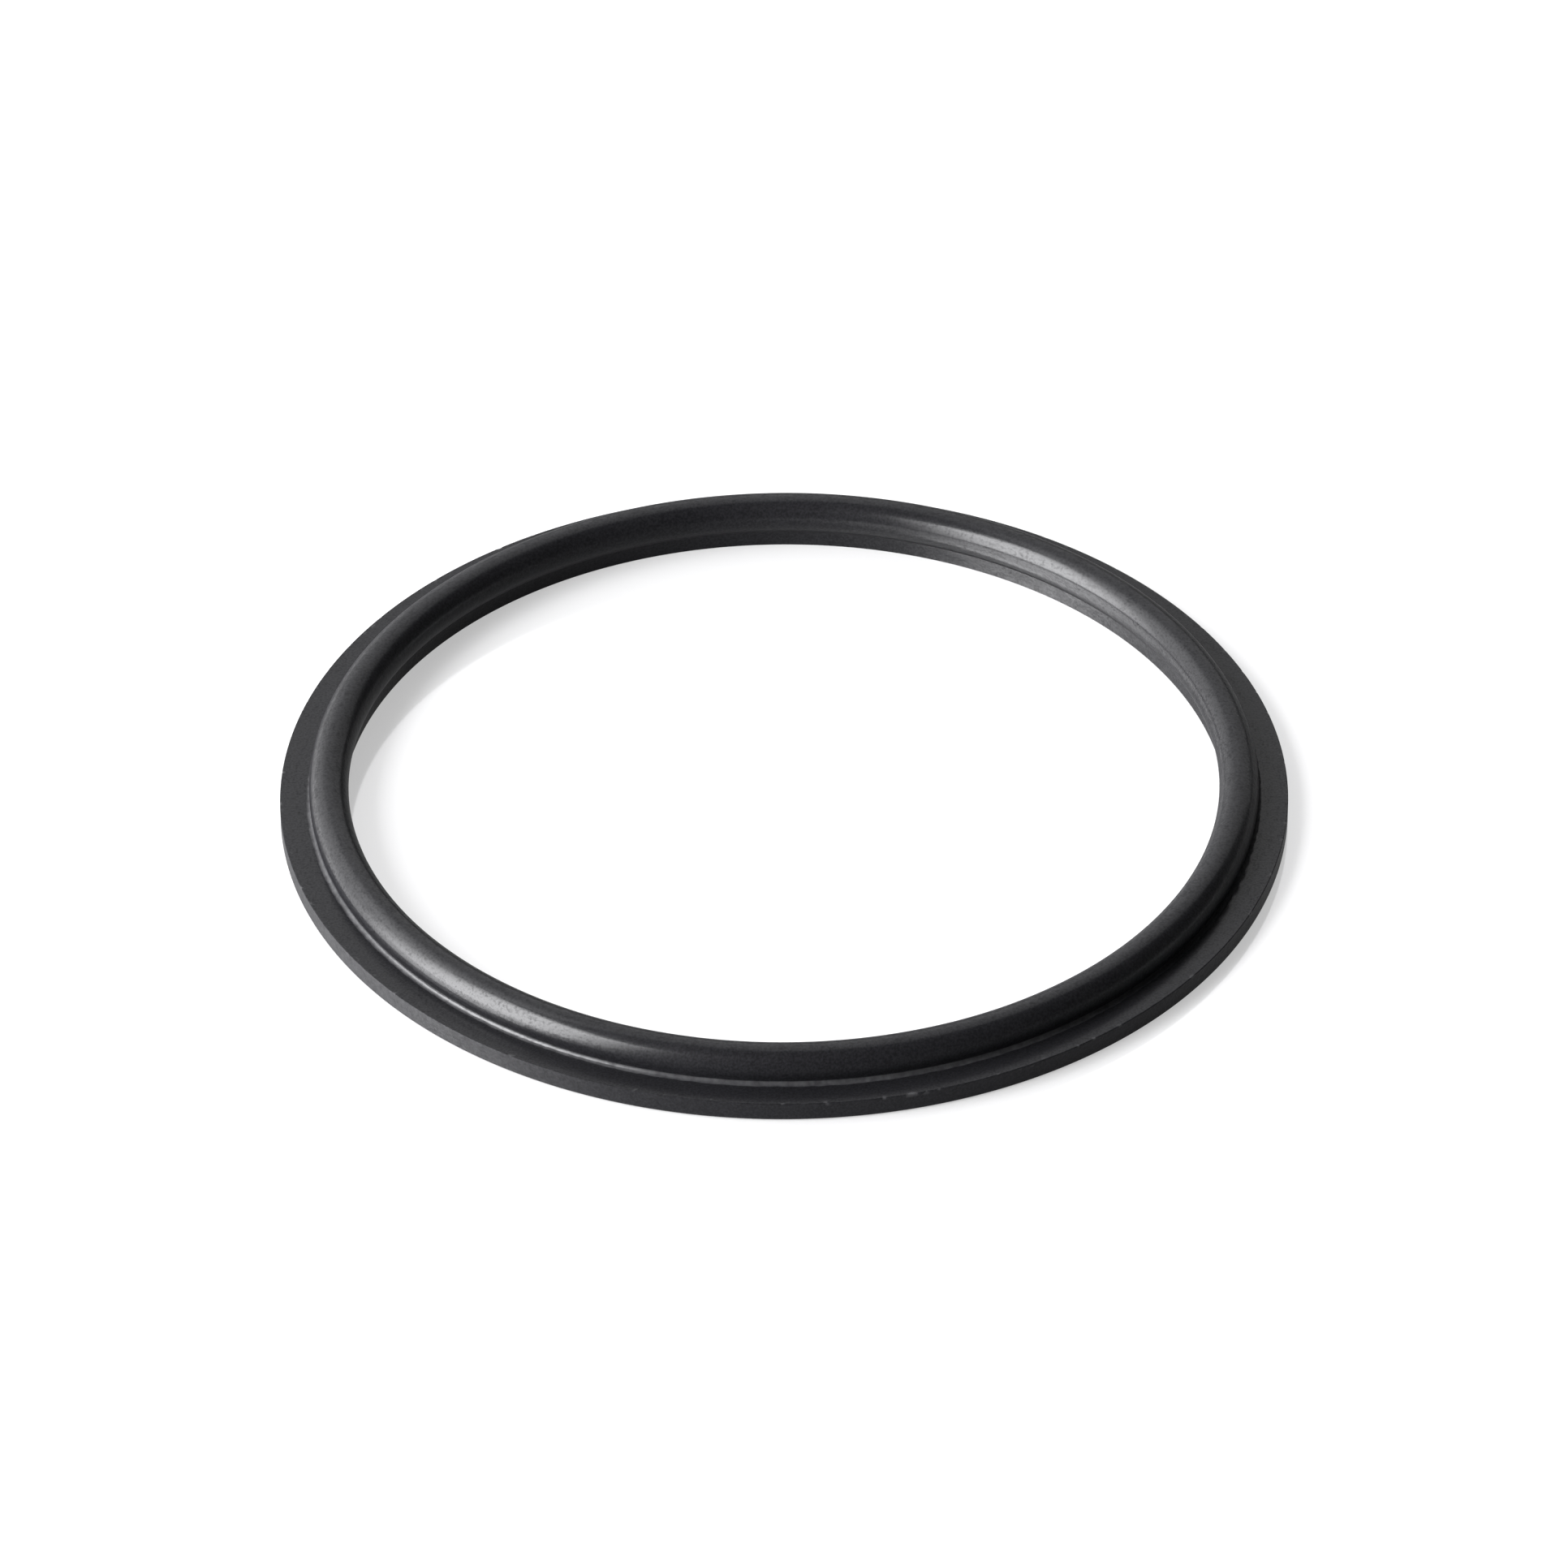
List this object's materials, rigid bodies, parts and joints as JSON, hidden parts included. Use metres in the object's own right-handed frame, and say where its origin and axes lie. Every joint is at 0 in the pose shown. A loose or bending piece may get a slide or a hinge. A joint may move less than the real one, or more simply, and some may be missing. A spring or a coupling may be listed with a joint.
{
  "type": "bottom bracket seal",
  "caption": "Thin moulded rubber ring seal: a round bead stands on the inner edge of a flat flange, and keeps dirt and water out of a bottom bracket bearing.",
  "frame": {"origin": "centre of the ring, on the flat underside of the flange", "axes": "+Z along the ring's axis, from the flange towards the bead; X and Y are any two directions across the ring"},
  "size_m": [0.043, 0.043, 0.0023],
  "materials": {
    "black_rubber": "satin moulded black rubber"
  },
  "bodies": {
    "root": {"seal_ring": "black_rubber"}
  },
  "joints": []
}
